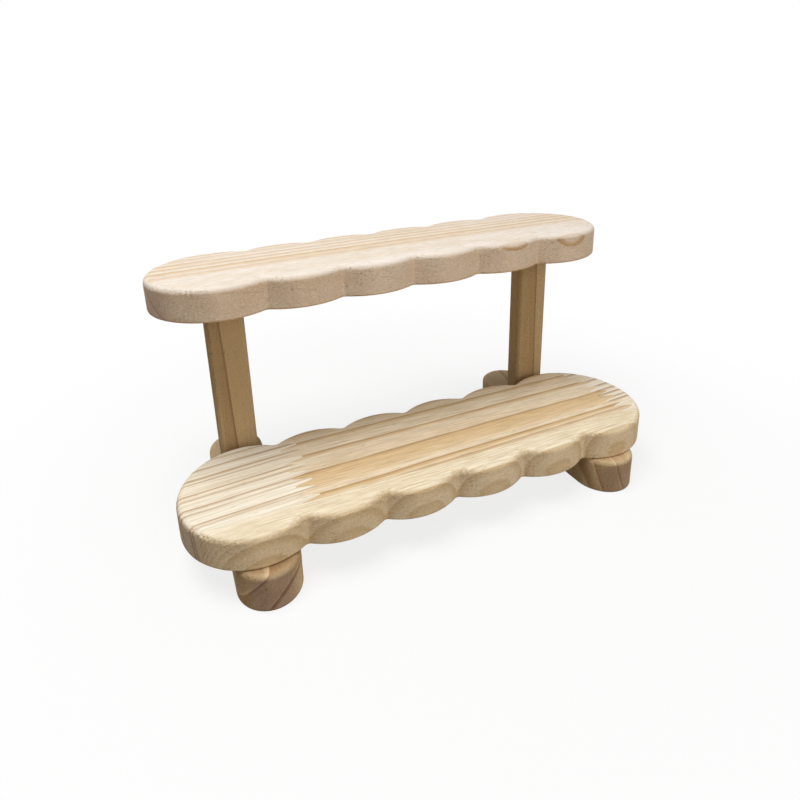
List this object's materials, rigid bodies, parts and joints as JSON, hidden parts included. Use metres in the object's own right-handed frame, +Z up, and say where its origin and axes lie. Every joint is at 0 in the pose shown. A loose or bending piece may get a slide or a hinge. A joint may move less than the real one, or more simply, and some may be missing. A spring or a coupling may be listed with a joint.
{
  "type": "countertop display stand",
  "caption": "Two-tier countertop display riser in bare pine: scalloped shelves on round-ended foot bars, the upper shelf raised behind the lower on flat posts.",
  "frame": {"origin": "on the ground under the middle of the stand's bounding box", "axes": "+X along the shelves to the viewer's right, +Y from the front to the raised back shelf, +Z up"},
  "size_m": [0.255, 0.115, 0.13],
  "materials": {
    "shelf_pine": "bare planed pine, routed edges, no varnish",
    "leg_pine": "bare pine, sanded, no varnish",
    "dowel_beech": "plain turned beech",
    "screw_steel": "zinc-plated steel"
  },
  "bodies": {
    "root": {"upper_shelf": "shelf_pine", "lower_shelf_left_block": "shelf_pine", "lower_shelf_middle_block": "shelf_pine", "lower_shelf_right_block": "shelf_pine", "lower_shelf_front_stave": "shelf_pine", "left_foot_bar": "leg_pine", "right_foot_bar": "leg_pine", "left_post": "leg_pine", "right_post": "leg_pine", "left_dowel_a": "dowel_beech", "left_dowel_b": "dowel_beech", "right_dowel_a": "dowel_beech", "right_dowel_b": "dowel_beech", "left_post_screw_a": "screw_steel", "left_post_screw_b": "screw_steel", "right_post_screw_a": "screw_steel", "right_post_screw_b": "screw_steel", "left_shelf_screw_a": "screw_steel", "left_shelf_screw_b": "screw_steel", "right_shelf_screw_a": "screw_steel", "right_shelf_screw_b": "screw_steel"}
  },
  "joints": []
}
